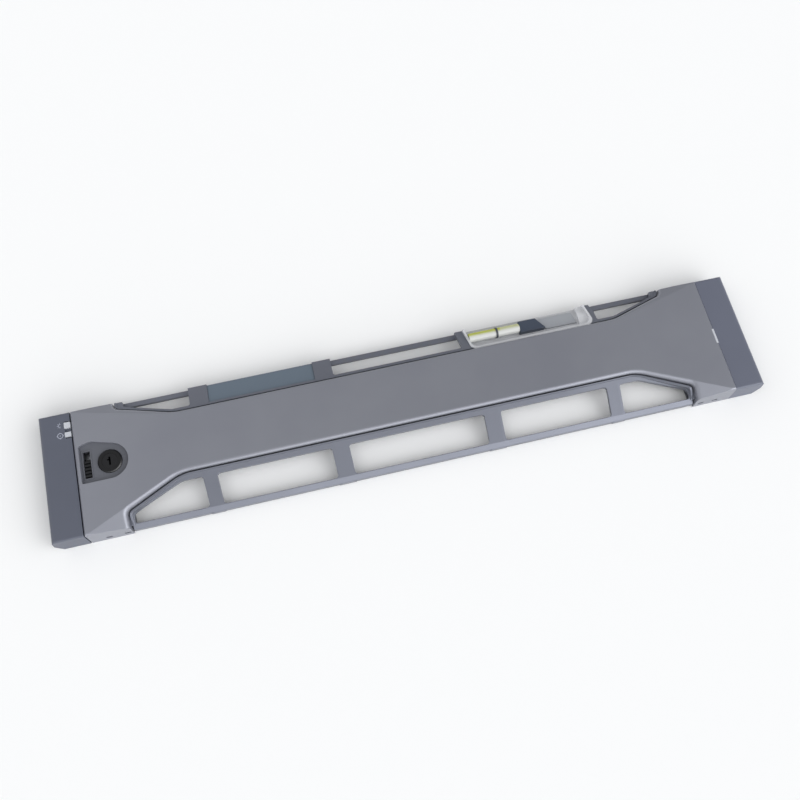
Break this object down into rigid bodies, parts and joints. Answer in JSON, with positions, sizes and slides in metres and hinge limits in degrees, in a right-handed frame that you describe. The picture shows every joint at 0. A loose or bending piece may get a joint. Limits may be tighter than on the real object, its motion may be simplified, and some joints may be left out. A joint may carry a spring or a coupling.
{
  "type": "server front bezel",
  "caption": "Wide rack server front bezel: a waisted centre band, open windows above and below, end caps, a key lock and a sliding release.",
  "frame": {"origin": "centre of the footprint, on the plane of the rear rim that the bezel lies on", "axes": "+X along the width, the lock at -X; +Y towards the top edge of the mounted bezel; +Z out of the front face"},
  "size_m": [0.4826, 0.0868, 0.017],
  "materials": {
    "fascia_plastic": "satin grey moulding",
    "grille_plastic": "satin dark grey moulding",
    "dark_plastic": "dull near-black moulding",
    "cap_plastic": "satin slate grey moulding",
    "plate_metal": "smooth slate grey paint, left bare",
    "trim_plastic": "fine satin grey",
    "lock_black": "semi-gloss black",
    "plug_metal": "dark lacquered metal",
    "bright_steel": "plain zinc-coated steel",
    "slider_plastic": "satin dark grey moulding",
    "clear_plastic": "clear polished",
    "tinted_plastic": "clear with a yellow-green tint",
    "slate_plastic": "dull slate",
    "reflector_grey": "light grey"
  },
  "bodies": {
    "bezel": {"front_fascia": "fascia_plastic", "grille_frame": "grille_plastic", "rear_frame": "dark_plastic", "left_end_cap": "cap_plastic", "right_end_cap": "cap_plastic", "nameplate": "plate_metal", "lock_escutcheon": "trim_plastic", "lock_body": "lock_black", "lock_nut": "bright_steel", "latch_spring": "bright_steel", "latch_guide": "dark_plastic", "latch_guide_screws": "bright_steel", "hook_plate": "bright_steel", "hook_screws": "bright_steel", "fascia_screws": "bright_steel", "frame_screws": "bright_steel", "cap_screws": "bright_steel", "upper_light_pipe": "clear_plastic", "lower_light_pipe": "clear_plastic", "side_light_pipe": "clear_plastic", "status_tray": "clear_plastic", "light_guide_rod": "tinted_plastic", "guide_collar": "dark_plastic", "lamp_block": "slate_plastic", "reflector_plate": "reflector_grey"},
    "lock_rotor": {"key_plug": "plug_metal", "lock_cam": "bright_steel", "cam_nut": "bright_steel"},
    "latch": {"release_slider": "slider_plastic", "latch_plate": "bright_steel"}
  },
  "joints": [
    {"name": "key_turn", "type": "hinge", "parent": "bezel", "child": "lock_rotor", "pos_m": [-0.1988, 0.0032, 0.004], "axis": [0, 0, 1], "range_deg": [0, 90]},
    {"name": "release_slide", "type": "slide", "parent": "bezel", "child": "latch", "axis": [0, 1, 0], "range_m": [0, 0.005], "stiffness_N_per_m": 400, "springref_m": -0.003, "deforming": ["latch_spring"]}
  ]
}
